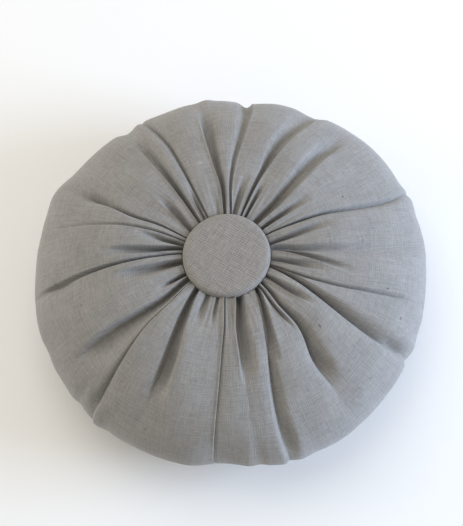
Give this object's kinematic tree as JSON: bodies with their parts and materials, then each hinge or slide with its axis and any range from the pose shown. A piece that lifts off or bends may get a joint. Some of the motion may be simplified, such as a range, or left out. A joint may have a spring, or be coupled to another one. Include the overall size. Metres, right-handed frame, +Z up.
{
  "type": "round gathered cushion",
  "caption": "Round filled cushion of plain linen, its front gathered in radial folds to the centre under a large cloth-covered button, lying on its flat back.",
  "frame": {"origin": "on the surface the cushion lies on, under the middle of its box", "axes": "+Z up out of the gathered front, +X to the right across the widest part, +Y to the far side of the cushion as it is looked at"},
  "size_m": [0.3988, 0.3916, 0.134],
  "materials": {
    "linen": "plain-woven grey linen with slubs, gathered and filled, dull",
    "button_linen": "the same grey linen stretched over a flat button, its weave on the diagonal"
  },
  "bodies": {
    "root": {"cushion": "linen", "button": "button_linen"}
  },
  "joints": []
}
